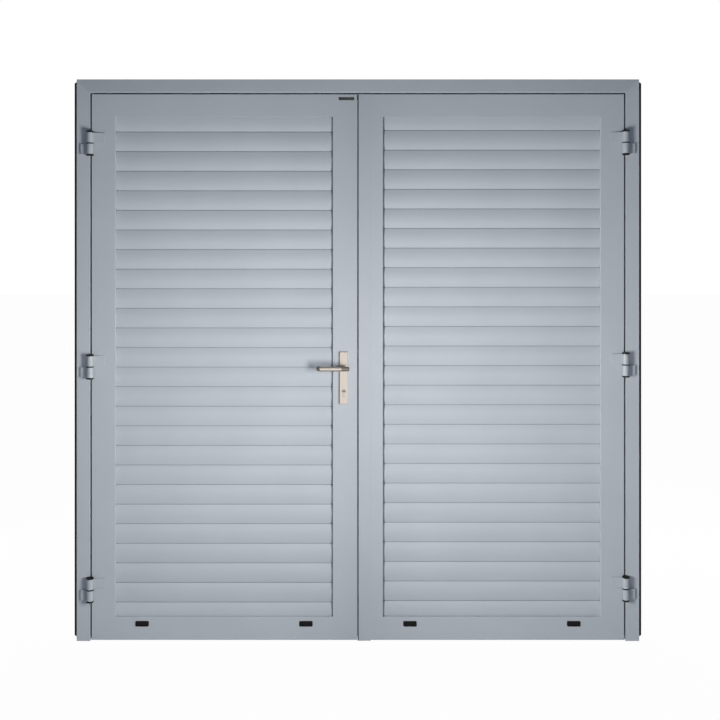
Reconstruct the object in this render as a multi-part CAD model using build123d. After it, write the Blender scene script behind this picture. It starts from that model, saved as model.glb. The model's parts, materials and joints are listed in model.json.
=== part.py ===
from build123d import *
import os

os.makedirs("parts", exist_ok=True)

# A double utility door: two outward opening leaves of aluminium profile, each filled with
# foam cored shutter slats, in a frame of two jambs and a head. X runs to the right as seen
# from outside, Y runs inwards from the outer face and Z runs up. Heights are counted from
# the floor and X from the centre line. One move at the end sets the origin on the middle
# of the head's top face.

# Frame
frame_width = 2204.0
frame_height = 2200.0
frame_face = 53.0
stop_reach = 22.0
stop_thickness = 18.0
head_slope_height = 4.5
head_slope_depth = 6.0
profile_wall = 2.0
edge_bevel = 1.0

# Rubber lip in a groove on the outside of each jamb, which closes the joint to the wall
wall_seal_reach = 18.0
wall_seal_base = 14.0
wall_seal_tip = 3.0
wall_seal_depth = 30.0
wall_seal_end = 1.0
wall_seal_cut = 9.0
wall_seal_groove = 3.0

# Rubber bulb on the stop, which stands clear of the closed leaf
stop_seal_width = 9.0
stop_seal_height = 6.0
stop_seal_clearance = 5.0
stop_seal_offset = 1.0

# Leaves
frame_gap = 6.0
head_gap = 5.0
floor_gap = 4.0
meeting_gap = 5.0
meeting_bevel = 2.0
leaf_depth = 46.0
hinge_stile_face = 93.0
lock_stile_face = 96.0
top_rail_face = 89.0
bottom_rail_face = 91.0
lip_reach = 18.0
lip_depth = 9.0

# False mullion on the passive leaf, with the rubber lip that closes the meeting gap
mullion_face = 47.0
mullion_floor_gap = 1.0
meeting_seal_setback = 2.5
meeting_seal_root = 4.0
meeting_seal_lip = 2.0
meeting_seal_foot = 1.0
meeting_slit = 1.2

# Slats
slat_pitch = 77.0
slat_thickness = 18.5
slat_crown = 4.0
slat_inset = 1.0
slat_groove = 1.8
slat_skin = 2.0
slat_nose = 5.0
slat_nose_height = 6.0
slat_joint_clearance = 0.6
slat_end_gap = 1.0
left_joint_height = 147.5
right_joint_height = 153.3

# Beads that hold the slats from inside
bead_bevel = 6.0

# Hinges: the lower one from the floor, the upper one from the frame's top, one near midway
lower_hinge_height = {"left": 205.0, "right": 210.0}
upper_hinge_drop = {"left": 252.0, "right": 249.0}
middle_hinge_rise = {"left": -1.0, "right": 3.0}
barrel_diameter = 27.0
barrel_half_height = 40.0
barrel_face_clearance = 0.5
ring_height = 4.5
cap_height = 6.0
cap_rim = 0.4
pin_diameter = 12.0
pin_clearance = 0.3
leaf_wing_reach = 54.0
leaf_wing_tip = 2.5
frame_wing_reach = 38.0
frame_wing_tip = 8.0
wing_root = 10.0
wing_seat = 3.0
wing_edge_gap = 1.5

# Lock and handles
backset = 53.0
spindle_height = 1072.0
cylinder_drop = 92.0
plate_width = 33.0
plate_height = 204.0
plate_thickness = 9.0
plate_centre_drop = 41.0
plate_chamfer = 1.5
window_width = 20.0
window_clearance = 1.5
bar_diameter = 17.6
bar_projection = 58.0
bar_tip_reach = 98.0
bar_heel_reach = 22.8
bar_bend = 12.0
bar_return = 32.0
bar_chamfer = 4.0
neck_diameter = 16.8
neck_sink = 1.0
neck_clearance = 1.0
spindle_side = 8.0
spindle_engagement = 20.0
cylinder_diameter = 17.0
cylinder_tail_width = 10.0
cylinder_overall = 33.0
cylinder_projection = 1.0
cylinder_clearance = 0.3
keyway_width = 13.5
keyway_height = 4.6
keyway_depth = 8.0
lock_case_width = 16.0
lock_case_reach = 73.0
lock_case_above = 35.0
lock_case_below = 125.0
faceplate_width = 22.0
faceplate_thickness = 3.0
faceplate_margin = 40.0
recess_clearance = 0.3
latch_window_width = 14.0
latch_window_height = 36.0
latch_window_depth = 1.0
latch_drop = 22.0
bolt_window_rise = 34.0
strike_height = 170.0
strike_window_height = 44.0
flush_bolt_height = 190.0
flush_bolt_setback = 120.0
finger_pocket_width = 12.0
finger_pocket_height = 60.0
finger_pocket_depth = 1.4

# Drain caps on the bottom rails
drain_cap_width = 52.0
drain_cap_height = 21.0
drain_cap_depth = 3.5
drain_cap_corner = 3.0
drain_cap_chamfer = 1.0
drain_cap_centre = 68.0
drain_cap_edge_distance = 105.0
drain_cap_slot = 3.0
drain_cap_slot_length = 36.0
drain_cap_slot_drop = 5.0
drain_cap_slot_depth = 2.5

# Lengths that only have to pass right through a piece
mitre_reach = 300.0
through = 400.0

depth_way = Vector(0, 1, 0)

# Edges and openings that follow from the sizes above
stop_front = leaf_depth + stop_seal_clearance + stop_seal_height
frame_depth = stop_front + stop_thickness
jamb_outer = frame_width / 2
jamb_inner = jamb_outer - frame_face
stop_inner = jamb_inner - stop_reach
leaf_outer = jamb_inner - frame_gap
leaf_top = frame_height - frame_face - head_gap
leaf_bottom = floor_gap
leaf_meeting = meeting_gap / 2
opening_outer = leaf_outer - hinge_stile_face
opening_inner = leaf_meeting + lock_stile_face
opening_top = leaf_top - top_rail_face
opening_bottom = leaf_bottom + bottom_rail_face
mullion_edge = leaf_meeting + mullion_face
slat_crest = lip_depth + slat_inset
slat_back = slat_crest + slat_thickness
axis_x = jamb_inner - frame_gap / 2
axis_y = -barrel_diameter / 2 - barrel_face_clearance
spindle_x = -leaf_meeting - backset
cylinder_height = spindle_height - cylinder_drop
plate_centre = spindle_height - plate_centre_drop


def outline(*corners):
    """A face through (x, y, bevel) corners, each bevelled where its bevel is set."""
    face = make_face(Polyline(*[(x, y) for x, y, _ in corners], close=True))
    for x, y, bevel in corners:
        if bevel:
            corner = face.vertices().sort_by_distance(Vector(x, y))[0]
            face = chamfer(corner, bevel)
    return face


def hollow(solid_face, wall):
    """The same face as a tube section with an even wall."""
    return solid_face - offset(solid_face, amount=-wall, kind=Kind.INTERSECTION)


def bar(section, corner, across, length):
    """A section pushed along its member: its x runs across the member, its y inwards."""
    across = Vector(across)
    plane = Plane(origin=corner, x_dir=across, z_dir=across.cross(depth_way))
    return extrude(plane * section, length)


def block(x0, x1, y0, y1, z0, z1):
    """A box between two corners."""
    size = Box(abs(x1 - x0), abs(y1 - y0), abs(z1 - z0))
    return Pos((x0 + x1) / 2, (y0 + y1) / 2, (z0 + z1) / 2) * size


def mitred(member, opening, side):
    """Cut a member of a rectangular ring along 45 degree lines from the opening's corners."""
    x0, x1, z0, z1 = opening
    r = mitre_reach
    areas = {
        "left": [(x0, z0), (x0 - r, z0 - r), (x0 - r, z1 + r), (x0, z1)],
        "right": [(x1, z0), (x1 + r, z0 - r), (x1 + r, z1 + r), (x1, z1)],
        "top": [(x0, z1), (x0 - r, z1 + r), (x1 + r, z1 + r), (x1, z1)],
        "bottom": [(x0, z0), (x0 - r, z0 - r), (x1 + r, z0 - r), (x1, z0)],
    }
    area = make_face(Polyline(*areas[side], close=True))
    return member & extrude(Plane.XZ * area, through, both=True)


def mirrored(shape, side):
    """Pieces are drawn on the right half; the left half mirrors them."""
    return mirror(shape, Plane.YZ) if side == "left" else shape


# Frame


def frame_section(arris, groove=()):
    """Box section with the stop behind the leaf, x from the outer edge inwards."""
    reach = frame_face + stop_reach
    solid_face = outline(
        (0, 0, edge_bevel),
        *arris,
        (frame_face, stop_front, 0),
        (reach, stop_front, 0),
        (reach, frame_depth, edge_bevel),
        (0, frame_depth, edge_bevel),
        *groove,
    )
    return hollow(solid_face, profile_wall)


def wall_seal_groove_corners():
    """The groove in a jamb's outer side that holds the wall seal's root."""
    front = wall_seal_depth
    back = wall_seal_depth + wall_seal_base
    deep = wall_seal_groove
    return [(0, back, 0), (deep, back, 0), (deep, front, 0), (0, front, 0)]


def frame_opening():
    """The clear opening between the stops, open at the floor."""
    top = frame_height - frame_face - stop_reach
    return (-stop_inner, stop_inner, -mitre_reach, top)


def jamb():
    arris = [(frame_face, 0, edge_bevel)]
    section = frame_section(arris, wall_seal_groove_corners())
    member = bar(section, (jamb_outer, 0, frame_height), (-1, 0, 0), frame_height)
    return mitred(member, frame_opening(), "right")


def head():
    """The head, whose lower front edge slopes back towards the gap above the leaves."""
    start = (-jamb_outer, 0, frame_height)
    arris = [(frame_face - head_slope_height, 0, 0), (frame_face, head_slope_depth, 0)]
    member = bar(frame_section(arris), start, (0, 0, -1), frame_width)
    return mitred(member, frame_opening(), "top")


def wall_seal():
    """A root in the jamb's groove and a wedge shaped lip, cut back towards both ends."""
    base0 = wall_seal_depth
    base1 = base0 + wall_seal_base
    middle = (base0 + base1) / 2
    root = jamb_outer - wall_seal_groove
    tip = jamb_outer + wall_seal_reach
    tip_bevel = wall_seal_tip / 3
    section = outline(
        (root, base0, 0),
        (jamb_outer, base0, 0),
        (tip, middle - wall_seal_tip / 2, tip_bevel),
        (tip, middle + wall_seal_tip / 2, tip_bevel),
        (jamb_outer, base1, 0),
        (root, base1, 0),
    )
    strip = extrude(section, frame_height)
    low = wall_seal_end
    high = frame_height - wall_seal_end
    area = [
        (root, low),
        (jamb_outer, low),
        (tip, low + wall_seal_cut),
        (tip, high - wall_seal_cut),
        (jamb_outer, high),
        (root, high - wall_seal_groove),
    ]
    return strip & extrude(Plane.XZ * make_face(Polyline(*area, close=True)), through, both=True)


def stop_seal_section():
    """A flat root on the stop with a half round bulb towards the leaf."""
    middle = frame_face + stop_reach / 2 + stop_seal_offset
    half = stop_seal_width / 2
    root = stop_front - stop_seal_height + half
    edges = [
        Line((middle - half, stop_front), (middle - half, root)),
        ThreePointArc((middle - half, root), (middle, root - half), (middle + half, root)),
        Line((middle + half, root), (middle + half, stop_front)),
        Line((middle + half, stop_front), (middle - half, stop_front)),
    ]
    return make_face(edges)


def stop_seal():
    """One bulb seal that runs up both jambs and across the head."""
    section = stop_seal_section()
    opening = frame_opening()
    right = bar(section, (jamb_outer, 0, frame_height), (-1, 0, 0), frame_height)
    right = mitred(right, opening, "right")
    top = bar(section, (-jamb_outer, 0, frame_height), (0, 0, -1), frame_width)
    return right + mitred(top, opening, "top") + mirror(right, Plane.YZ)


# Leaf members, drawn for the right leaf


def leaf_section(face, bevel=0.0, outer_bevel=edge_bevel):
    """Box section with the lip that covers the slats, x from the leaf's edge inwards."""
    solid_face = outline(
        (0, 0, outer_bevel),
        (face, 0, edge_bevel),
        (face, lip_depth, 0),
        (face - lip_reach, lip_depth, 0),
        (face - lip_reach, leaf_depth, 0),
        (bevel, leaf_depth, outer_bevel),
    )
    return hollow(solid_face, profile_wall)


def leaf_opening():
    return (opening_inner, opening_outer, opening_bottom, opening_top)


def hinge_stile():
    length = leaf_top - leaf_bottom
    member = bar(leaf_section(hinge_stile_face), (leaf_outer, 0, leaf_top), (-1, 0, 0), length)
    return mitred(member, leaf_opening(), "right")


def rail(face, side):
    """A top or bottom rail between the hinge stile and the stile at the meeting edge."""
    length = leaf_outer - leaf_meeting
    if side == "top":
        member = bar(leaf_section(face), (leaf_meeting, 0, leaf_top), (0, 0, -1), length)
    else:
        member = bar(leaf_section(face), (leaf_outer, 0, leaf_bottom), (0, 0, 1), length)
    return mitred(member, leaf_opening(), side)


def meeting_edge_cut():
    """What lies past the bevelled meeting edge, to trim rails and lock plates."""
    area = make_face(
        Polyline(
            (-through, 0),
            (leaf_meeting, 0),
            (leaf_meeting + meeting_bevel, leaf_depth),
            (-through, leaf_depth),
            close=True,
        )
    )
    return extrude(area, frame_height)


def active_stile():
    """The stile with the lock, cut for the lock's case, the spindle and the cylinder."""
    length = leaf_top - leaf_bottom
    section = leaf_section(lock_stile_face, meeting_bevel)
    member = bar(section, (leaf_meeting, 0, leaf_bottom), (1, 0, 0), length)
    member = mitred(member, leaf_opening(), "left")
    return member - lock_faceplate_blank(recess_clearance) - handle_holes()


def passive_stile():
    length = leaf_top - leaf_bottom
    face = lock_stile_face - mullion_face
    section = leaf_section(face, 0.0, 0.0)
    member = bar(section, (mullion_edge, 0, leaf_bottom), (1, 0, 0), length)
    return mitred(member, leaf_opening(), "left")


def passive_rail(face, side):
    """The passive leaf's rails stop at the false mullion."""
    beyond = block(-through, mullion_edge, -through, through, 0, frame_height)
    return rail(face, side) - beyond


def mullion():
    """The profile on the passive leaf's edge, which reaches down to the floor."""
    solid_face = outline(
        (0, 0, edge_bevel),
        (mullion_face, 0, 0),
        (mullion_face, leaf_depth, 0),
        (meeting_bevel, leaf_depth, edge_bevel),
    )
    tube = hollow(solid_face, profile_wall)
    length = leaf_top - mullion_floor_gap
    member = bar(tube, (leaf_meeting, 0, mullion_floor_gap), (1, 0, 0), length)
    for height, size in edge_plates():
        member -= edge_plate_blank(height, size, recess_clearance)
    return member - meeting_seal_root_block()


def meeting_seal_root_block():
    """The root of the meeting seal, held in a slot of the false mullion's wall."""
    front = meeting_seal_setback
    back = front + meeting_seal_root
    outer = leaf_meeting - meeting_seal_foot
    inner = leaf_meeting + profile_wall
    return block(outer, inner, front, back, mullion_floor_gap, leaf_top)


def meeting_seal():
    """A rubber lip that reaches across the meeting gap to a narrow slit."""
    tip = -leaf_meeting + meeting_slit
    front = meeting_seal_setback
    back = front + meeting_seal_lip
    lip = block(tip, leaf_meeting, front, back, mullion_floor_gap, leaf_top)
    return lip + meeting_seal_root_block()


# Slats


def slat_section():
    """One slat seen from its end: crowned face, nose on top and channel below."""
    edge = slat_crest + slat_crown
    low = slat_groove / 2
    high = slat_pitch - slat_groove / 2
    channel_front = edge + slat_skin
    nose_front = channel_front + slat_joint_clearance
    nose_back = nose_front + slat_nose
    channel_back = nose_back + slat_joint_clearance
    nose_top = slat_pitch + slat_nose_height
    channel_top = slat_nose_height + 2 * slat_joint_clearance
    crown = ThreePointArc((edge, low), (slat_crest, slat_pitch / 2), (edge, high))
    rest = Polyline(
        (edge, high),
        (nose_front, high),
        (nose_front, nose_top),
        (nose_back, nose_top),
        (nose_back, high),
        (slat_back, high),
        (slat_back, low),
        (channel_back, low),
        (channel_back, channel_top),
        (channel_front, channel_top),
        (channel_front, low),
        (edge, low),
    )
    return make_face([crown] + rest.edges())


def slats(joint_height):
    """A stack of slats that hook into each other, cut to the space behind the lips."""
    x0 = opening_inner - lip_reach + slat_end_gap
    x1 = opening_outer + lip_reach - slat_end_gap
    z0 = opening_bottom - lip_reach + slat_end_gap
    z1 = opening_top + lip_reach - slat_end_gap
    space = block(x0, x1, 0, leaf_depth, z0, z1)
    slat = extrude(Plane.YZ * slat_section(), x1 - x0)
    level = joint_height - slat_pitch
    stack = []
    while level < z1 - slat_nose_height:
        stack.append(Pos(x0, 0, level) * slat & space)
        level += slat_pitch
    return stack


def bead_ring():
    """Beads behind the slats, mitred and joined at the corners."""
    section = outline(
        (0, slat_back, 0),
        (lip_reach, slat_back, 0),
        (lip_reach, leaf_depth, bead_bevel),
        (0, leaf_depth, 0),
    )
    opening = leaf_opening()
    x0, x1, z0, z1 = (
        opening_inner - lip_reach,
        opening_outer + lip_reach,
        opening_bottom - lip_reach,
        opening_top + lip_reach,
    )
    ring = mitred(bar(section, (x1, 0, z1), (-1, 0, 0), z1 - z0), opening, "right")
    ring += mitred(bar(section, (x0, 0, z0), (1, 0, 0), z1 - z0), opening, "left")
    ring += mitred(bar(section, (x0, 0, z1), (0, 0, -1), x1 - x0), opening, "top")
    ring += mitred(bar(section, (x1, 0, z0), (0, 0, 1), x1 - x0), opening, "bottom")
    return ring


# Hinges, drawn for the right side


def hinge_heights(side):
    """Heights of the rings of a leaf's three hinges."""
    low = lower_hinge_height[side]
    high = frame_height - upper_hinge_drop[side]
    return (low, (low + high) / 2 + middle_hinge_rise[side], high)


def wing_section(reach, tip, way):
    """Barrel and wing in plan: way is -1 towards the leaf and 1 towards the jamb."""
    barrel = Pos(axis_x, axis_y) * Circle(barrel_diameter / 2)
    end = axis_x + way * reach
    start = axis_x + way * (frame_gap / 2 + wing_edge_gap)
    wing = make_face(
        Polyline(
            (start, 0),
            (end, 0),
            (end, -tip),
            (axis_x, -wing_root),
            (axis_x, -wing_seat),
            (start, -wing_seat),
            close=True,
        )
    )
    return barrel + wing


def leaf_hinge(height):
    """Upper half, with its wing on the leaf."""
    low = height + ring_height / 2 + pin_clearance
    top = height + ring_height / 2 + barrel_half_height - pin_clearance
    section = wing_section(leaf_wing_reach, leaf_wing_tip, -1)
    bore = Pos(axis_x, axis_y) * Circle(pin_diameter / 2 + pin_clearance)
    return Pos(0, 0, low) * extrude(section - bore, top - low)


def frame_hinge(height):
    """Lower half, with its wing on the jamb."""
    top = height - ring_height / 2
    section = wing_section(frame_wing_reach, frame_wing_tip, 1)
    return Pos(0, 0, top - barrel_half_height) * extrude(section, barrel_half_height)


def hinge_pin(height):
    """Pin that stands on the lower half, with the ring under the upper half and its cap."""
    rim = barrel_diameter / 2 + cap_rim
    pin = pin_diameter / 2
    ring = ring_height / 2
    end = ring + barrel_half_height
    profile = Polyline(
        (0, -ring),
        (rim, -ring),
        (rim, ring),
        (pin, ring),
        (pin, end),
        (rim, end),
        (rim, end + cap_height),
        (0, end + cap_height),
        close=True,
    )
    turned = revolve(Plane.XZ * make_face(profile), Axis.Z)
    return Pos(axis_x, axis_y, height) * turned


def hinge_foot(height):
    """The cap below the lower half."""
    drop = ring_height / 2 + barrel_half_height + cap_height
    shape = Pos(axis_x, axis_y, height - drop) * Circle(barrel_diameter / 2 + cap_rim)
    return extrude(shape, cap_height)


# Lock and handles, drawn in place on the left leaf unless said otherwise


def cylinder_section(clearance=0.0):
    """Euro profile: a round plug housing with a narrower tail, centred on the plug."""
    radius = cylinder_diameter / 2 + clearance
    tail = cylinder_tail_width / 2 + clearance
    drop = cylinder_overall - cylinder_diameter / 2 + clearance - tail
    shape = Circle(radius) + Pos(0, -drop / 2) * Rectangle(2 * tail, drop)
    return shape + Pos(0, -drop) * Circle(tail)


def across_leaf(section, x, z, y0, y1):
    """Push a section drawn as seen from outside through the leaf, from y0 to y1."""
    plane = Plane(origin=(x, y0, z), x_dir=(1, 0, 0), z_dir=(0, -1, 0))
    return extrude(plane * section, y0 - y1)


def handle_holes():
    """Milled windows behind the plates, on the right half like the active stile itself."""
    spindle = Rectangle(window_width, window_width)
    cylinder = Pos(0, -cylinder_overall / 2 + cylinder_diameter / 2) * Rectangle(
        window_width, cylinder_overall + 2 * window_clearance
    )
    windows = across_leaf(spindle, -spindle_x, spindle_height, -1, leaf_depth + 1)
    return windows + across_leaf(cylinder, -spindle_x, cylinder_height, -1, leaf_depth + 1)


def handle_plate():
    """Outer plate with the neck's hole and the cylinder's cut-out."""
    shape = chamfer(Rectangle(plate_width, plate_height).vertices(), plate_chamfer)
    blank = across_leaf(shape, spindle_x, plate_centre, -plate_thickness, 0)
    rim = blank.faces().sort_by(Axis.Y)[0].edges()
    blank = chamfer(rim, plate_chamfer)
    neck = across_leaf(
        Circle(neck_diameter / 2 + neck_clearance), spindle_x, spindle_height, -through, through
    )
    cylinder = across_leaf(
        cylinder_section(cylinder_clearance), spindle_x, cylinder_height, -through, through
    )
    return blank - neck - cylinder


def lever():
    """Outer lever: a round bar with a returned tip, on a round neck over the spindle."""
    heel = spindle_x + bar_heel_reach
    tip = spindle_x - bar_tip_reach
    bend = tip + bar_bend
    y = -bar_projection
    turned_y = y + bar_bend
    height = spindle_height
    profile = Circle(bar_diameter / 2)

    start = Plane(origin=(heel, y, height), x_dir=(0, 1, 0), z_dir=(-1, 0, 0))
    straight = extrude(start * profile, heel - bend)
    straight = chamfer(straight.faces().sort_by(Axis.X)[-1].edges(), bar_chamfer)
    corner = Plane(origin=(bend, y, height), x_dir=(0, 1, 0), z_dir=(-1, 0, 0))
    turn = revolve(corner * profile, Axis((bend, turned_y, height), (0, 0, -1)), 90)
    back = Plane(origin=(tip, turned_y, height), x_dir=(1, 0, 0), z_dir=(0, 1, 0))
    returned = extrude(back * profile, bar_return - bar_bend)

    neck = across_leaf(Circle(neck_diameter / 2), spindle_x, height, y, neck_sink - plate_thickness)
    return straight + turn + returned + neck - spindle()


def spindle():
    y0 = -plate_thickness - spindle_engagement
    y1 = leaf_depth + plate_thickness + spindle_engagement
    half = spindle_side / 2
    return block(
        spindle_x - half,
        spindle_x + half,
        y0,
        y1,
        spindle_height - half,
        spindle_height + half,
    )


def inside(shape):
    """The same piece on the inner face of the leaf."""
    return mirror(shape, Plane.XZ.offset(-leaf_depth / 2))


def lock_cylinder():
    """Euro cylinder through both plates, with a keyway at each end."""
    y0 = -plate_thickness - cylinder_projection
    y1 = leaf_depth + plate_thickness + cylinder_projection
    body = across_leaf(cylinder_section(), spindle_x, cylinder_height, y0, y1)
    slot = Rectangle(keyway_width, keyway_height)
    body -= across_leaf(slot, spindle_x, cylinder_height, y0 - 1, y0 + keyway_depth)
    body -= across_leaf(slot, spindle_x, cylinder_height, y1 - keyway_depth, y1 + 1)
    return body


def lock_faceplate_blank(clearance):
    """The faceplate's pocket in the active stile's edge, on the right half."""
    middle = leaf_depth / 2
    half = faceplate_width / 2 + clearance
    top = spindle_height + lock_case_above + faceplate_margin + clearance
    bottom = spindle_height - lock_case_below - faceplate_margin - clearance
    depth = leaf_meeting + meeting_bevel / 2 + faceplate_thickness
    return block(0, depth, middle - half, middle + half, bottom, top)


def mortice_lock():
    """Faceplate and case, with a hole for the spindle and one for the cylinder."""
    middle = leaf_depth / 2
    half = lock_case_width / 2
    case = block(
        leaf_meeting + meeting_bevel,
        leaf_meeting + lock_case_reach,
        middle - half,
        middle + half,
        spindle_height - lock_case_below,
        spindle_height + lock_case_above,
    )
    body = lock_faceplate_blank(0.0) + case - meeting_edge_cut() - handle_holes()
    half = latch_window_width / 2
    reach = latch_window_height / 2
    depth = leaf_meeting + meeting_bevel / 2 + latch_window_depth
    for height in (spindle_height + latch_drop, cylinder_height - bolt_window_rise):
        body -= block(0, depth, middle - half, middle + half, height - reach, height + reach)
    return mirror(body, Plane.YZ)


def edge_plates():
    """Height and size of the plates let into the passive leaf's edge."""
    bolt_offset = flush_bolt_setback + flush_bolt_height / 2
    return [
        (spindle_height - lock_case_below / 2, strike_height),
        (leaf_bottom + bolt_offset, flush_bolt_height),
        (leaf_top - bolt_offset, flush_bolt_height),
    ]


def edge_plate_blank(height, size, clearance):
    middle = leaf_depth / 2
    half = faceplate_width / 2 + clearance
    depth = leaf_meeting + meeting_bevel / 2 + faceplate_thickness
    reach = size / 2 + clearance
    return block(0, depth, middle - half, middle + half, height - reach, height + reach)


def edge_plate(height, size):
    """A plate flush with the bevelled edge of the false mullion."""
    return edge_plate_blank(height, size, 0.0) - meeting_edge_cut()


def strike_plate():
    """Plate with the openings that take the latch and the bolt."""
    height, size = edge_plates()[0]
    plate = edge_plate(height, size)
    middle = leaf_depth / 2
    half = latch_window_width / 2
    reach = strike_window_height / 2
    for z in (height + size / 4, height - size / 4):
        plate -= block(0, through, middle - half, middle + half, z - reach, z + reach)
    return plate


def flush_bolts():
    """The plates of two edge bolts, each with a pocket for the finger that draws it."""
    made = []
    middle = leaf_depth / 2
    half = finger_pocket_width / 2
    reach = finger_pocket_height / 2
    depth = leaf_meeting + meeting_bevel / 2 + finger_pocket_depth
    for height, size in edge_plates()[1:]:
        pocket = block(0, depth, middle - half, middle + half, height - reach, height + reach)
        made.append(edge_plate(height, size) - pocket)
    return made


def drain_caps():
    """Two caps with cut corners and a slot on the face of a bottom rail."""
    made = []
    corners = Rectangle(drain_cap_width, drain_cap_height).vertices()
    blank = chamfer(corners, drain_cap_corner)
    opening = Rectangle(drain_cap_slot_length, drain_cap_slot)
    slot_height = drain_cap_centre - drain_cap_slot_drop
    front = -drain_cap_depth
    near_stiles = (opening_outer - drain_cap_edge_distance, opening_inner + drain_cap_edge_distance)
    for x in near_stiles:
        cap = across_leaf(blank, x, drain_cap_centre, front, 0)
        cap = chamfer(cap.faces().sort_by(Axis.Y)[0].edges(), drain_cap_chamfer)
        slot = across_leaf(opening, x, slot_height, front - 1, front + drain_cap_slot_depth)
        made.append(cap - slot)
    return made


pieces = {"head": head(), "stop_seal": stop_seal()}
for side in ("left", "right"):
    pieces[f"{side}_jamb"] = mirrored(jamb(), side)
    pieces[f"{side}_wall_seal"] = mirrored(wall_seal(), side)
    heights = hinge_heights(side)
    pins = [hinge_pin(z) for z in heights] + [hinge_foot(z) for z in heights]
    pieces[f"{side}_hinge_pins"] = [mirrored(pin, side) for pin in pins]
    pieces[f"{side}_hinge_leaf_halves"] = [mirrored(leaf_hinge(z), side) for z in heights]
    pieces[f"{side}_hinge_frame_halves"] = [mirrored(frame_hinge(z), side) for z in heights]
    pieces[f"{side}_hinge_stile"] = mirrored(hinge_stile(), side)
    pieces[f"{side}_beads"] = mirrored(bead_ring(), side)
    pieces[f"{side}_drain_caps"] = [mirrored(cap, side) for cap in drain_caps()]

pieces["left_top_rail"] = mirrored(rail(top_rail_face, "top") - meeting_edge_cut(), "left")
pieces["left_bottom_rail"] = mirrored(rail(bottom_rail_face, "bottom") - meeting_edge_cut(), "left")
pieces["right_top_rail"] = passive_rail(top_rail_face, "top")
pieces["right_bottom_rail"] = passive_rail(bottom_rail_face, "bottom")
pieces["left_lock_stile"] = mirrored(active_stile(), "left")
pieces["right_meeting_stile"] = passive_stile()
pieces["right_false_mullion"] = mullion()
pieces["meeting_seal"] = meeting_seal()
pieces["left_slats"] = [mirrored(slat, "left") for slat in slats(left_joint_height)]
pieces["right_slats"] = slats(right_joint_height)
pieces["outer_handle_plate"] = handle_plate()
pieces["inner_handle_plate"] = inside(handle_plate())
pieces["outer_lever"] = lever()
pieces["inner_lever"] = inside(lever())
pieces["spindle"] = spindle()
pieces["lock_cylinder"] = lock_cylinder()
pieces["mortice_lock"] = mortice_lock()
pieces["strike_plate"] = strike_plate()
pieces["flush_bolts"] = flush_bolts()

# The origin is the middle of the head's top face
to_origin = Pos(0, -frame_depth / 2, -frame_height)
for name, piece in pieces.items():
    if isinstance(piece, list):
        piece = Compound(children=piece)
    export_step(to_origin * piece, f"parts/{name}.step")
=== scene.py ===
import json
import math

import bmesh
import bpy
from mathutils import Matrix, Vector

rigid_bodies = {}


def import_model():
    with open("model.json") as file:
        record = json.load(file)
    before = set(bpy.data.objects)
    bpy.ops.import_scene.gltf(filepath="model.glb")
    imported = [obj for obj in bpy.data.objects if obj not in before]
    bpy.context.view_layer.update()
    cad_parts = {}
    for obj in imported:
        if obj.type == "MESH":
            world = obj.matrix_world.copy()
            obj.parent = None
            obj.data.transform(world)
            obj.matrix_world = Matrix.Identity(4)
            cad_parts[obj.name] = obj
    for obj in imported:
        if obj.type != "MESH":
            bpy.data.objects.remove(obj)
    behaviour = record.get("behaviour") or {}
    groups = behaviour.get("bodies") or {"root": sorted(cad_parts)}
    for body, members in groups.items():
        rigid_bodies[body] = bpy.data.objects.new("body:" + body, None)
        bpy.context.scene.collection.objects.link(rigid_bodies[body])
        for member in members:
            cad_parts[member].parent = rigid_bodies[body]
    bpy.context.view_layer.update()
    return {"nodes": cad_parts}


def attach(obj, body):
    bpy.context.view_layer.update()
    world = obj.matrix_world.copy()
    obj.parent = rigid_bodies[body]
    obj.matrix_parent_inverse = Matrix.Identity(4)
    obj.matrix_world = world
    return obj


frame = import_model()
nodes = frame["nodes"]

# Places and sizes of the model in metres, from the middle of the head's top face: the leaves'
# front and middle, and their bevelled meeting edges, at half of the leaves' depth
FACE_Y = -0.0375
FLOOR_Z = -2.2
LEAF_DEPTH = 0.046
MIDDLE_Y = FACE_Y + LEAF_DEPTH / 2
EDGE_X = 0.0035

# The slats' pitch, and the height over the floor of a joint in each leaf
SLAT_PITCH = 0.077
LEFT_JOINT = 0.1475
RIGHT_JOINT = 0.1533

# The handle set: spindle, cylinder with its plug and keyway, and inner plate
SPINDLE = Vector((-0.0555, 0.0, -1.128))
CYLINDER = Vector((-0.0555, 0.0, -1.220))
PLUG_RADIUS = 0.0066
KEYWAY_REACH = 0.0078
KEYWAY_RISE = 0.0025
PLATE_THICKNESS = 0.009
PLATE_Z = SPINDLE.z - 0.041
PLATE_SCREW_RISE = 0.091

# What the meeting edges carry: screws, flush bolts, latch and bolt, and the finger levers
LOCK_SCREWS = (-1.061, -1.285)
STRIKE_SCREWS = (-1.1135, -1.1905, -1.2675)
FLUSH_BOLTS = (-1.981, -0.273)
BOLT_SCREW_RISE = 0.083
LATCH_Z = -1.106
BOLT_Z = -1.254
WINDOW_DEPTH = 0.001
POCKET_DEPTH = 0.0014
NOSE_SIZE = (0.0124, 0.034)
FINGER_SIZE = (0.0095, 0.03)
FINGER_RISE = 0.012

# The bare plate at the top of the active leaf, and the widths of drawn lines
BADGE_SIZE = (0.061, 0.0115)
BADGE_PLACE = (-0.045, FACE_Y, -0.076)
SEAM_WIDTH = 0.0005
RING_WIDTH = 0.0005
# The next width is that of the painted shade in the slats' joints
JOINT_WIDTH = 0.0022

# The mitres' hairlines, each as the sign of z and the value of |x| + sign z along it: one on
# each corner of the frame and four round each leaf
FRAME_SEAMS = ((-1.0, 1.102),)
LEAF_SEAMS = ((-1.0, 1.097), (1.0, -1.155), (1.0, -0.0485), (-1.0, 2.2035))

# Colours
PAINT = (0.398, 0.436, 0.477)
# The next colour is painted shade for the leaves' faces across the middle gap
SHADED_EDGE = (0.12, 0.16, 0.192)
CHAMPAGNE = (0.70, 0.63, 0.56)
WHITE = (1.0, 1.0, 1.0)

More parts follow.
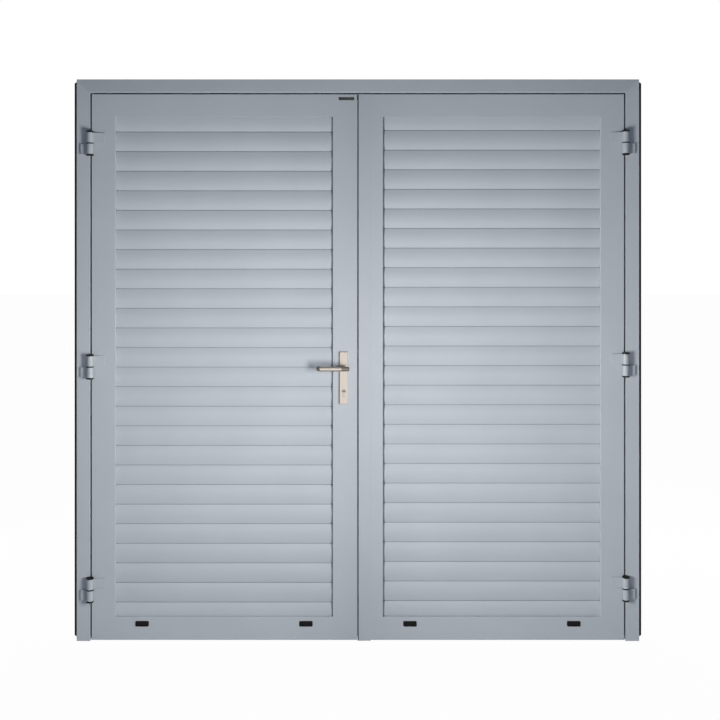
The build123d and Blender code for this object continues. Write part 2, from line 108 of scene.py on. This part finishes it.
# Scales of a texture along x, y and z: the small one is the way that its lines run
EVEN = (1.0, 1.0, 1.0)
LENGTHWAYS = (1.0, 1.0, 0.1)
BRUSHED_UP = (1500.0, 1500.0, 25.0)
BRUSHED_ACROSS = (25.0, 1500.0, 1500.0)
BRUSHED_EVEN = (900.0, 900.0, 900.0)

# How much stronger the slats' crown looks, and the shine of rubber and plastic
SLAT_CROWN = 1.4
DULL = 0.12


# Material building

def empty_material(name):
    """A node material with nothing in it but its output."""
    material = bpy.data.materials.new(name)
    material.use_nodes = True
    tree = material.node_tree
    tree.nodes.clear()
    return material, tree, tree.nodes.new("ShaderNodeOutputMaterial")


def new_material(name):
    """A node material with its Principled shader."""
    material, tree, output = empty_material(name)
    shader = tree.nodes.new("ShaderNodeBsdfPrincipled")
    tree.links.new(shader.outputs["BSDF"], output.inputs["Surface"])
    return material, tree, shader


def feed(tree, socket, value):
    """Set a socket to a number or link it to another socket."""
    if isinstance(value, (int, float)):
        socket.default_value = value
    else:
        tree.links.new(value, socket)


def calc(tree, operation, first, second=0.0):
    """One operation on two values, each a number or a socket."""
    node = tree.nodes.new("ShaderNodeMath")
    node.operation = operation
    feed(tree, node.inputs[0], first)
    feed(tree, node.inputs[1], second)
    return node.outputs[0]


def axes(tree, kind="Object"):
    """X, Y and Z of the piece's own coordinates in metres, or of its surface's direction."""
    coords = tree.nodes.new("ShaderNodeTexCoord")
    parts = tree.nodes.new("ShaderNodeSeparateXYZ")
    tree.links.new(coords.outputs[kind], parts.inputs["Vector"])
    return parts.outputs


def stretched(tree, scale=EVEN):
    """The piece's own coordinates, in metres, scaled along each axis."""
    coords = tree.nodes.new("ShaderNodeTexCoord")
    mapping = tree.nodes.new("ShaderNodeMapping")
    mapping.inputs["Scale"].default_value = scale
    tree.links.new(coords.outputs["Object"], mapping.inputs["Vector"])
    return mapping.outputs["Vector"]


def mapped(tree, value, start, end, low, high, kind="LINEAR"):
    """A value taken from one range to another."""
    node = tree.nodes.new("ShaderNodeMapRange")
    node.interpolation_type = kind
    node.inputs["From Min"].default_value = start
    node.inputs["From Max"].default_value = end
    node.inputs["To Min"].default_value = low
    node.inputs["To Max"].default_value = high
    tree.links.new(value, node.inputs["Value"])
    return node.outputs["Result"]


def ramp(tree, value, start, end):
    """0 below the start and 1 past the end, smooth between."""
    return mapped(tree, value, start, end, 0.0, 1.0, "SMOOTHSTEP")


def raw_noise(tree, vector, scale, detail=2.0, roughness=0.5):
    """A noise as it comes, for relief."""
    node = tree.nodes.new("ShaderNodeTexNoise")
    node.inputs["Scale"].default_value = scale
    node.inputs["Detail"].default_value = detail
    node.inputs["Roughness"].default_value = roughness
    tree.links.new(vector, node.inputs["Vector"])
    return node.outputs["Fac"]


def noise(tree, vector, scale, detail=2.0, roughness=0.5, low=0.0, high=1.0):
    """A noise whose middle is spread over a wanted range."""
    return mapped(tree, raw_noise(tree, vector, scale, detail, roughness), 0.3, 0.7, low, high)


def blended(tree, factor, first, second):
    """Mix two colours, each a tuple or a socket."""
    node = tree.nodes.new("ShaderNodeMix")
    node.data_type = "RGBA"
    feed(tree, node.inputs[0], factor)
    for socket, colour in ((node.inputs[6], first), (node.inputs[7], second)):
        if isinstance(colour, tuple):
            socket.default_value = (*colour, 1.0)
        else:
            tree.links.new(colour, socket)
    return node.outputs[2]


def shade(colour, amount):
    """A colour made lighter or darker."""
    return tuple(min(1.0, c * amount) for c in colour)


def crowned(tree, share):
    """The surface's normal with its tilt up or down made stronger by a share."""
    coords = tree.nodes.new("ShaderNodeTexCoord")
    stretch = tree.nodes.new("ShaderNodeVectorMath")
    stretch.operation = "MULTIPLY"
    stretch.inputs[1].default_value = (1.0, 1.0, share)
    tree.links.new(coords.outputs["Normal"], stretch.inputs[0])
    placed = tree.nodes.new("ShaderNodeVectorTransform")
    placed.vector_type = "NORMAL"
    placed.convert_from = "OBJECT"
    placed.convert_to = "WORLD"
    tree.links.new(stretch.outputs["Vector"], placed.inputs["Vector"])
    return placed.outputs["Vector"]


def bumped(tree, shader, height, distance, strength, radius=0.0, crown=1.0):
    """Small relief, over edges rounded by a radius or over a crown made stronger."""
    node = tree.nodes.new("ShaderNodeBump")
    node.inputs["Distance"].default_value = distance
    node.inputs["Strength"].default_value = strength
    tree.links.new(height, node.inputs["Height"])
    if radius:
        edge = tree.nodes.new("ShaderNodeBevel")
        edge.samples = 4
        edge.inputs["Radius"].default_value = radius
        tree.links.new(edge.outputs["Normal"], node.inputs["Normal"])
    elif crown != 1.0:
        tree.links.new(crowned(tree, crown), node.inputs["Normal"])
    tree.links.new(node.outputs["Normal"], shader.inputs["Normal"])


# Masks

def line_mask(tree, distance, width):
    """1 on a line and 0 beyond its width, from a signed distance."""
    near = calc(tree, "ABSOLUTE", distance)
    return mapped(tree, near, width * 0.35, width, 1.0, 0.0, "SMOOTHSTEP")


def seam_mask(tree, seams, width):
    """Hairlines where mitred members meet."""
    place = axes(tree)
    across = calc(tree, "ABSOLUTE", place["X"])
    found = None
    for sign, constant in seams:
        total = calc(tree, "ADD", across, calc(tree, "MULTIPLY", place["Z"], sign))
        mask = line_mask(tree, calc(tree, "SUBTRACT", total, constant), width)
        found = mask if found is None else calc(tree, "MAXIMUM", found, mask)
    return found


def gap_shade_mask(tree):
    """Painted shade on the narrow faces of the leaves that look at each other across the middle
    gap.
    """
    sideways = ramp(tree, calc(tree, "ABSOLUTE", axes(tree, "Normal")["X"]), 0.2, 0.5)
    away = ramp(tree, calc(tree, "ABSOLUTE", axes(tree)["X"]), 0.006, 0.009)
    return calc(tree, "MAXIMUM", calc(tree, "SUBTRACT", sideways, away), 0.0)


def joint_shade_mask(tree, joint, width):
    """Painted shade in the joints between slats: one at the given height over the floor, then
    every pitch.
    """
    rise = calc(tree, "SUBTRACT", axes(tree)["Z"], FLOOR_Z + joint - SLAT_PITCH / 2)
    place = calc(tree, "SUBTRACT", calc(tree, "MODULO", rise, SLAT_PITCH), SLAT_PITCH / 2)
    return line_mask(tree, place, width)


def lever_painted_reflection(tree):
    """Painted dark reflections on the lever: above and below, round its bend and at its knuckle.
    """
    way = axes(tree, "Normal")
    flank = ramp(tree, calc(tree, "ABSOLUTE", way["Z"]), 0.5, 0.85)
    left = calc(tree, "MULTIPLY", way["X"], -1.0)
    bend = calc(tree, "SUBTRACT", ramp(tree, left, 0.15, 0.4), ramp(tree, left, 0.8, 0.95))
    knuckle = ramp(tree, axes(tree)["X"], SPINDLE.x - 0.011, SPINDLE.x - 0.006)
    knuckle = calc(tree, "MULTIPLY", knuckle, 0.9)
    return calc(tree, "MAXIMUM", calc(tree, "MAXIMUM", flank, bend), knuckle)


# Kinds of finish

def painted(
    name, colour, rough, seams=(), grain=900.0, edge=0.0008, crown=1.0, joint=None, meeting=False
):
    """Satin powder coat: faint clouding, uneven gloss and orange peel.

    It can have mitre lines, a stronger crown, painted shade in the slats' joints and painted shade
    on the meeting faces.
    """
    material, tree, shader = new_material(name)
    plain = stretched(tree)
    cloud = noise(tree, plain, 5.0, 3.0)
    speck = noise(tree, plain, grain, 1.0)
    tone = blended(tree, cloud, shade(colour, 0.975), shade(colour, 1.025))
    tone = blended(tree, calc(tree, "MULTIPLY", speck, 0.35), tone, shade(colour, 0.93))
    height = calc(tree, "MULTIPLY", speck, 0.6)
    height = calc(tree, "ADD", height, raw_noise(tree, plain, grain * 0.3, 2.0))
    if seams:
        mask = seam_mask(tree, seams, SEAM_WIDTH)
        tone = blended(tree, calc(tree, "MULTIPLY", mask, 0.22), tone, shade(colour, 0.5))
        height = calc(tree, "SUBTRACT", height, calc(tree, "MULTIPLY", mask, 1.5))
    if meeting:
        # Painted shade on the faces across the middle gap
        tone = blended(tree, gap_shade_mask(tree), tone, SHADED_EDGE)
    if joint is not None:
        # Painted shade in the joints between the slats
        mask = joint_shade_mask(tree, joint, JOINT_WIDTH)
        tone = blended(tree, calc(tree, "MULTIPLY", mask, 0.5), tone, shade(colour, 0.4))
    gloss = noise(tree, plain, 38.0, 3.0, low=rough - 0.04, high=rough + 0.05)
    tree.links.new(tone, shader.inputs["Base Color"])
    tree.links.new(gloss, shader.inputs["Roughness"])
    shader.inputs["IOR"].default_value = 1.5
    bumped(tree, shader, height, 0.00006, 0.35, edge, crown)
    return material


def rubber(name, colour):
    """Matt black rubber, drawn out lengthways."""
    material, tree, shader = new_material(name)
    plain = stretched(tree, LENGTHWAYS)
    cloud = noise(tree, plain, 30.0, 4.0)
    tone = blended(tree, cloud, shade(colour, 0.8), shade(colour, 1.5))
    gloss = noise(tree, plain, 220.0, 2.0, low=0.55, high=0.75)
    tree.links.new(tone, shader.inputs["Base Color"])
    tree.links.new(gloss, shader.inputs["Roughness"])
    shader.inputs["Specular IOR Level"].default_value = DULL
    bumped(tree, shader, raw_noise(tree, plain, 1400.0, 2.0), 0.0001, 0.3)
    return material


def moulded(name, colour):
    """Black moulded plastic with a fine eroded grain."""
    material, tree, shader = new_material(name)
    plain = stretched(tree)
    cloud = noise(tree, plain, 60.0, 2.0)
    tone = blended(tree, cloud, shade(colour, 0.85), shade(colour, 1.25))
    gloss = noise(tree, plain, 500.0, 2.0, low=0.42, high=0.58)
    tree.links.new(tone, shader.inputs["Base Color"])
    tree.links.new(gloss, shader.inputs["Roughness"])
    shader.inputs["Specular IOR Level"].default_value = DULL
    bumped(tree, shader, raw_noise(tree, plain, 2600.0, 3.0), 0.00008, 0.4, 0.0006)
    return material


def brushed(name, colour, along, metallic, rough, dark=0.8, edge=0.0006, painted_reflection=None):
    """Satin metal with brush lines, and with painted dark reflections where a mask for them is
    given.
    """
    material, tree, shader = new_material(name)
    streak = noise(tree, stretched(tree, along), 1.0, 4.0, 0.6)
    cloud = noise(tree, stretched(tree), 45.0, 3.0)
    tone = blended(tree, streak, shade(colour, dark), colour)
    tone = blended(tree, calc(tree, "MULTIPLY", cloud, 0.4), tone, shade(colour, 0.9))
    if painted_reflection is not None:
        # Painted dark reflections, darker than the metal's own tone
        tone = blended(tree, painted_reflection(tree), tone, shade(colour, 0.26))
    gloss = mapped(tree, streak, 0.0, 1.0, rough - 0.05, rough + 0.1)
    tree.links.new(tone, shader.inputs["Base Color"])
    tree.links.new(gloss, shader.inputs["Roughness"])
    shader.inputs["Metallic"].default_value = metallic
    bumped(tree, shader, streak, 0.00003, 0.4, edge)
    return material


def cylinder_metal(name, colour):
    """The lock cylinder: satin, with the ring where its plug turns and painted shade in its
    keyway.
    """
    material, tree, shader = new_material(name)
    place = axes(tree)
    dx = calc(tree, "SUBTRACT", place["X"], CYLINDER.x)
    dz = calc(tree, "SUBTRACT", place["Z"], CYLINDER.z)
    squares = calc(tree, "ADD", calc(tree, "POWER", dx, 2.0), calc(tree, "POWER", dz, 2.0))
    radius = calc(tree, "SQRT", squares)
    ring = line_mask(tree, calc(tree, "SUBTRACT", radius, PLUG_RADIUS), RING_WIDTH)
    # Where the keyway is: painted shade in its recess
    keyway = calc(
        tree, "MULTIPLY", line_mask(tree, dz, KEYWAY_RISE), line_mask(tree, dx, KEYWAY_REACH)
    )
    plain = stretched(tree)
    tone = blended(tree, noise(tree, plain, 300.0, 3.0), shade(colour, 0.85), colour)
    tone = blended(tree, calc(tree, "MULTIPLY", ring, 0.25), tone, (0.02, 0.02, 0.02))
    # The keyway painted near black as the shade in its recess
    tone = blended(tree, keyway, tone, (0.006, 0.006, 0.006))
    gloss = noise(tree, plain, 900.0, 2.0, low=0.3, high=0.42)
    tree.links.new(tone, shader.inputs["Base Color"])
    tree.links.new(gloss, shader.inputs["Roughness"])
    shader.inputs["Metallic"].default_value = 0.8
    height = raw_noise(tree, plain, 2000.0, 2.0)
    height = calc(tree, "SUBTRACT", height, calc(tree, "MULTIPLY", ring, 2.0))
    bumped(tree, shader, height, 0.00005, 0.4, 0.0004)
    return material


# The finishes

frame_coat = painted("frame_coat", PAINT, 0.40, FRAME_SEAMS)
# The leaf coat carries painted shade on its faces across the middle gap
leaf_coat = painted("leaf_coat", PAINT, 0.47, LEAF_SEAMS, meeting=True)
mullion_coat = painted("mullion_coat", PAINT, 0.47)
bead_coat = painted("bead_coat", shade(PAINT, 0.97), 0.42)
# The hinges take the paint made darker: painted shade that tones down their lit barrels and wings
shaded_hinge_coat = painted("shaded_hinge_coat", shade(PAINT, 0.88), 0.5, grain=1100.0, edge=0.0005)
slat_coats = {
    side: painted(
        f"{side}_slat_coat",
        shade(PAINT, 1.04),
        0.43,
        grain=500.0,
        edge=0.0,
        crown=SLAT_CROWN,
        joint=joint,
    )
    for side, joint in (("left", LEFT_JOINT), ("right", RIGHT_JOINT))
}
seal_rubber = rubber("seal_rubber", (0.012, 0.012, 0.014))
gap_rubber = rubber("gap_rubber", (0.009, 0.013, 0.018))
cap_plastic = moulded("cap_plastic", (0.003, 0.003, 0.0035))
badge_black = moulded("badge_black", (0.058, 0.059, 0.057))
plate_metal = brushed("plate_metal", shade(CHAMPAGNE, 0.64), BRUSHED_UP, 0.3, 0.42, dark=0.9)
lever_metal = brushed(
    "lever_metal",
    shade(CHAMPAGNE, 0.68),
    BRUSHED_ACROSS,
    0.75,
    0.26,
    dark=0.85,
    edge=0.0,
    painted_reflection=lever_painted_reflection,
)
lock_metal = brushed("lock_metal", (0.56, 0.55, 0.53), BRUSHED_UP, 0.85, 0.34)
latch_metal = brushed("latch_metal", (0.62, 0.57, 0.48), BRUSHED_ACROSS, 0.9, 0.3)
screw_metal = brushed("screw_metal", (0.52, 0.52, 0.53), BRUSHED_EVEN, 0.9, 0.36)
plug_metal = cylinder_metal("plug_metal", (0.30, 0.28, 0.26))

# The finish of each CAD node, by its name or else by the name's ending
NAMED_FINISHES = {
    "head": frame_coat,
    "left_slats": slat_coats["left"],
    "right_slats": slat_coats["right"],
    "right_false_mullion": mullion_coat,
    "meeting_seal": gap_rubber,
    "stop_seal": seal_rubber,
    "outer_lever": lever_metal,
    "inner_lever": lever_metal,
    "spindle": lock_metal,
    "lock_cylinder": plug_metal,
    "mortice_lock": lock_metal,
    "strike_plate": lock_metal,
    "flush_bolts": lock_metal,
}
FINISHES_BY_ENDING = {
    "_jamb": frame_coat,
    "_wall_seal": seal_rubber,
    "_hinge_pins": cap_plastic,
    "_halves": shaded_hinge_coat,
    "_stile": leaf_coat,
    "_rail": leaf_coat,
    "_beads": bead_coat,
    "_drain_caps": cap_plastic,
    "_handle_plate": plate_metal,
}


def finish_of(name):
    if name in NAMED_FINISHES:
        return NAMED_FINISHES[name]
    found = (coat for ending, coat in FINISHES_BY_ENDING.items() if name.endswith(ending))
    return next(found)


for name, thing in nodes.items():
    for holder in thing.material_slots:
        holder.material = finish_of(name)


# Building of pieces

def finished(name, mesh, material, body, matrix=None):
    """Turn a bmesh into a piece that rides on a body."""
    if matrix is not None:
        bmesh.ops.transform(mesh, matrix=matrix, verts=mesh.verts)
    bmesh.ops.recalc_face_normals(mesh, faces=mesh.faces)
    data = bpy.data.meshes.new(name)
    mesh.to_mesh(data)
    mesh.free()
    data.materials.append(material)
    piece = bpy.data.objects.new(name, data)
    bpy.context.scene.collection.objects.link(piece)
    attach(piece, body)
    return piece


def smooth(piece, angle=35.0):
    """Smooth shading with sharp edges kept above an angle."""
    mesh = bmesh.new()
    mesh.from_mesh(piece.data)
    limit = math.radians(angle)
    for edge in mesh.edges:
        edge.smooth = len(edge.link_faces) == 2 and edge.calc_face_angle() < limit
    for face in mesh.faces:
        face.smooth = True
    mesh.to_mesh(piece.data)
    mesh.free()


def facing(place, way):
    """Stand a piece that faces -Y at a place, facing +Y, -X or +X instead."""
    turns = {"+Y": math.pi, "-X": -math.pi / 2, "+X": math.pi / 2}
    return Matrix.Translation(place) @ Matrix.Rotation(turns[way], 4, "Z")


def rounded_outline(width, height, radius, steps=6):
    """Points of a rounded rectangle round the origin, in x and z."""
    points = []
    corners = ((1, 1, 0), (-1, 1, 90), (-1, -1, 180), (1, -1, 270))
    for sx, sz, start in corners:
        cx = sx * (width / 2 - radius)
        cz = sz * (height / 2 - radius)
        for i in range(steps + 1):
            angle = math.radians(start + 90 * i / steps)
            points.append((cx + radius * math.cos(angle), cz + radius * math.sin(angle)))
    return points


def walled(mesh, rings):
    """Close the wall between each ring of points and the next."""
    for inner, outer in zip(rings, rings[1:]):
        for i in range(len(inner)):
            j = (i + 1) % len(inner)
            mesh.faces.new((inner[i], inner[j], outer[j], outer[i]))


def slab(points, levels):
    """A solid that faces -Y: each level is (y, scale in x, scale in z) of the outline."""
    mesh = bmesh.new()
    rings = []
    for y, sx, sz in levels:
        rings.append([mesh.verts.new((x * sx, y, z * sz)) for x, z in points])
    walled(mesh, rings)
    mesh.faces.new(rings[0])
    mesh.faces.new(rings[-1])
    return mesh


def screw_head(radius, height):
    """A countersunk head that faces -Y, with a cross recess pressed into its rings."""
    mesh = bmesh.new()
    count = 32
    shares = (0.12, 0.24, 0.36, 0.48, 0.6, 0.72, 0.84, 0.93, 1.0)
    recess_width = 0.13 * radius
    recess_reach = 0.62 * radius
    centre = mesh.verts.new((0, -height + 0.55 * height, 0))
    rings = []
    for share in shares:
        ring = []
        for i in range(count):
            angle = 2 * math.pi * i / count
            x, z = share * radius * math.cos(angle), share * radius * math.sin(angle)
            y = -height * (1 - 0.15 * share * share)
            if min(abs(x), abs(z)) < recess_width and max(abs(x), abs(z)) < recess_reach:
                y += 0.6 * height
            ring.append(mesh.verts.new((x, y, z)))
        rings.append(ring)
    rings.append([mesh.verts.new((v.co.x, 0.0, v.co.z)) for v in rings[-1]])
    for i in range(count):
        mesh.faces.new((centre, rings[0][i], rings[0][(i + 1) % count]))
    walled(mesh, rings)
    mesh.faces.new(rings[-1])
    return mesh


def screw(name, place, way, body, radius=0.0036, height=0.0009):
    """A screw's head on a face."""
    head = screw_head(radius, height)
    smooth(finished(name, head, screw_metal, body, facing(place, way)), 30)


def nose(name, place, way, body, width, height, depth, slope):
    """A latch or bolt end drawn back in its window, its face tilted by the slope."""
    levels = ((0.0, 1, 1), (-depth, 1, 1), (-depth - 0.0002, 0.95, 0.98))
    mesh = slab(rounded_outline(width, height, 0.001, 4), levels)
    for vertex in mesh.verts:
        if vertex.co.y < -depth * 0.5:
            vertex.co.y += slope * (vertex.co.x / width + 0.5)
    smooth(finished(name, mesh, latch_metal, body, facing(place, way)))


# The bare plate at the top of the active leaf
badge_levels = (
    (0.0, 1.0, 1.0),
    (-0.0008, 1.0, 1.0),
    (-0.0011, 0.996, 0.975),
    (-0.0012, 0.988, 0.93),
)
badge = finished(
    "blank_plate",
    slab(rounded_outline(*BADGE_SIZE, 0.002), badge_levels),
    badge_black,
    "left_leaf",
    Matrix.Translation(BADGE_PLACE),
)
smooth(badge)

# Screws of the inner handle plate and of the plates in the leaves' meeting edges
inner_face = FACE_Y + LEAF_DEPTH + PLATE_THICKNESS
for i, rise in enumerate((PLATE_SCREW_RISE, -PLATE_SCREW_RISE)):
    place = (SPINDLE.x, inner_face, PLATE_Z + rise)
    screw(f"inner_plate_screw_{i}", place, "+Y", "left_leaf", 0.0042, 0.0012)
for i, z in enumerate(LOCK_SCREWS):
    screw(f"lock_screw_{i}", (-EDGE_X, MIDDLE_Y, z), "+X", "left_leaf")
for i, z in enumerate(STRIKE_SCREWS):
    screw(f"strike_screw_{i}", (EDGE_X, MIDDLE_Y, z), "-X", "right_leaf")
bolt_ends = [z + rise for z in FLUSH_BOLTS for rise in (BOLT_SCREW_RISE, -BOLT_SCREW_RISE)]
for i, z in enumerate(bolt_ends):
    screw(f"bolt_screw_{i}", (EDGE_X, MIDDLE_Y, z), "-X", "right_leaf")

# Latch and bolt in the lock's windows, and the finger levers in the flush bolts' pockets
window_x = -EDGE_X - WINDOW_DEPTH
pocket_x = EDGE_X + POCKET_DEPTH
latch_place = (window_x, MIDDLE_Y, LATCH_Z)
bolt_place = (window_x, MIDDLE_Y, BOLT_Z)
nose("latch_nose", latch_place, "+X", "left_leaf", *NOSE_SIZE, depth=0.0008, slope=0.0005)
nose("bolt_nose", bolt_place, "+X", "left_leaf", *NOSE_SIZE, depth=0.0006, slope=0.0)
for i, z in enumerate(FLUSH_BOLTS):
    place = (pocket_x, MIDDLE_Y, z + FINGER_RISE)
    nose(f"finger_lever_{i}", place, "-X", "right_leaf", *FINGER_SIZE, depth=0.0009, slope=0.0004)

# A second rubber lip near the back of the false mullion's edge, short of the active leaf
lip_tip, lip_root = -0.0022, 0.0045
lip_bottom, lip_top = FLOOR_Z + 0.002, -0.0585
lip_front, lip_back = FACE_Y + 0.041, FACE_Y + 0.043
lip_outline = (
    (lip_tip, lip_bottom),
    (lip_root, lip_bottom),
    (lip_root, lip_top),
    (lip_tip, lip_top),
)
lip = slab(lip_outline, ((lip_front, 1.0, 1.0), (lip_back, 1.0, 1.0)))
finished("meeting_back_lip", lip, gap_rubber, "right_leaf")


# Floor and world

def seen_directly(tree):
    """1 for what the camera sees, also in metal and through glass."""
    path = tree.nodes.new("ShaderNodeLightPath")
    seen = calc(tree, "MAXIMUM", path.outputs["Is Camera Ray"], path.outputs["Is Glossy Ray"])
    return calc(tree, "MAXIMUM", seen, path.outputs["Is Transmission Ray"])


def stage_material(name, lit, glow):
    """Pale floor: most of what the camera sees is its own white, the rest takes the shadow."""
    material, tree, output = empty_material(name)
    diffuse = tree.nodes.new("ShaderNodeBsdfDiffuse")
    diffuse.inputs["Color"].default_value = (lit, lit, lit, 1.0)
    white = tree.nodes.new("ShaderNodeEmission")
    white.inputs["Strength"].default_value = 1.0
    mix = tree.nodes.new("ShaderNodeMixShader")
    tree.links.new(calc(tree, "MULTIPLY", seen_directly(tree), glow), mix.inputs[0])
    tree.links.new(diffuse.outputs[0], mix.inputs[1])
    tree.links.new(white.outputs[0], mix.inputs[2])
    tree.links.new(mix.outputs[0], output.inputs["Surface"])
    return material


FLOOR_REACH = 30.0
FLOOR_LIT = 0.8
FLOOR_GLOW = 0.98
AMBIENT = (0.012, 0.036, 0.085)

corner_signs = ((-1, -1), (1, -1), (1, 1), (-1, 1))
floor_corners = [(x * FLOOR_REACH, y * FLOOR_REACH, 0) for x, y in corner_signs]
floor_data = bpy.data.meshes.new("floor")
floor_data.from_pydata(floor_corners, [], [(0, 1, 2, 3)])
floor_data.materials.append(stage_material("floor_white", FLOOR_LIT, FLOOR_GLOW))
floor = bpy.data.objects.new("floor", floor_data)
floor.location = (0, 0, FLOOR_Z)
bpy.context.scene.collection.objects.link(floor)

world = bpy.data.worlds.new("studio")
bpy.context.scene.world = world
world.use_nodes = True
tree = world.node_tree
tree.nodes.clear()
output = tree.nodes.new("ShaderNodeOutputWorld")
background = tree.nodes.new("ShaderNodeBackground")
tree.links.new(blended(tree, seen_directly(tree), AMBIENT, WHITE), background.inputs["Color"])
tree.links.new(background.outputs[0], output.inputs["Surface"])

bpy.context.scene.view_settings.view_transform = "Standard"


# Lamps

KEY_POWER = 78.0
KEY_SIDE = 0.8
KEY_ASIDE = 0.74
KEY_AHEAD = 1.5
KEY_RISE = 0.95
KEY_COLOUR = (1.0, 0.955, 0.906)
HEAD_POWER = 43.0
FILL_POWER = 14.0
REAR_POWER = 60.0
EDGE_POWER = 14.0
TOP_POWER = 22.0
MIDDLE_BAND = 0.01


def lamp(name, place, aim, width, height, power, colour=WHITE, lit=None):
    """A soft lamp turned to a point, which can light only the pieces of one collection."""
    data = bpy.data.lights.new(name, "AREA")
    data.shape = "RECTANGLE"
    data.size = width
    data.size_y = height
    data.energy = power
    data.color = colour
    made = bpy.data.objects.new(name, data)
    made.location = place
    made.rotation_mode = "QUATERNION"
    made.rotation_quaternion = (Vector(aim) - Vector(place)).to_track_quat("-Z", "Y")
    bpy.context.scene.collection.objects.link(made)
    if lit is not None:
        made.light_linking.receiver_collection = lit


def part_of(thing):
    """The head by itself, or the half that a piece is on: both where it's on both or neither."""
    if thing is nodes["head"]:
        return "head"
    corners = [thing.matrix_world @ Vector(c) for c in thing.bound_box]
    on_left = min(c.x for c in corners) < -MIDDLE_BAND
    on_right = max(c.x for c in corners) > MIDDLE_BAND
    if on_left == on_right:
        return "both"
    return "left" if on_left else "right"


lit_parts = ("left", "right", "both", "head")
lit_by = {part: bpy.data.collections.new(f"{part}_half") for part in lit_parts}
for thing in list(bpy.data.objects):
    if thing.type == "MESH" and thing is not floor:
        lit_by[part_of(thing)].objects.link(thing)

# Each half of the door has its own key lamp, on the other side of the middle. The pieces at
# the middle take half of each, and the head has a lower one of its own.
for side, way in (("left", 1), ("right", -1)):
    place = Vector((way * KEY_ASIDE, FACE_Y - KEY_AHEAD, FLOOR_Z + KEY_RISE))
    aim = place + Vector((-way, -0.14, 0.07))
    for part, share in ((side, 1.0), ("both", 0.5)):
        power = KEY_POWER * share
        lamp(f"key_{side}_{part}", place, aim, KEY_SIDE, KEY_SIDE, power, KEY_COLOUR, lit_by[part])
head_place = (0.0, FACE_Y - 1.7, -1.9)
head_aim = (0.0, FACE_Y, 0.0)
lamp("key_head", head_place, head_aim, KEY_SIDE, KEY_SIDE, HEAD_POWER, KEY_COLOUR, lit_by["head"])
lamp("fill", (0.0, -2.2, -1.35), (0.0, FACE_Y, -1.35), 3.2, 0.5, FILL_POWER)

# Lamps for the back, the sides and the top, which don't reach the closed front
for side, way in (("left", -1), ("right", 1)):
    lamp(f"edge_{side}", (way * 2.3, 1.3, -1.1), (way * 1.1, 0.02, -1.1), 0.8, 1.8, EDGE_POWER)
lamp("top", (0.0, 1.0, 1.1), (0.0, 0.02, 0.0), 2.4, 0.5, TOP_POWER)
lamp("rear", (0.6, 3.0, -0.6), (0.0, FACE_Y, -1.2), 3.0, 1.6, REAR_POWER)


# Camera

CAMERA_DISTANCE = 3.9
CAMERA_Z = -0.665
LENS_PER_METRE = 12.765

camera_data = bpy.data.cameras.new("camera")
camera_data.sensor_width = 36.0
camera_data.lens = LENS_PER_METRE * CAMERA_DISTANCE
camera_data.shift_x = 0.0029
camera_data.shift_y = -0.154
camera = bpy.data.objects.new("camera", camera_data)
camera.location = (0.0, FACE_Y - CAMERA_DISTANCE, CAMERA_Z)
camera.rotation_euler = (math.pi / 2, 0.0, 0.0)
bpy.context.scene.collection.objects.link(camera)
bpy.context.scene.camera = camera
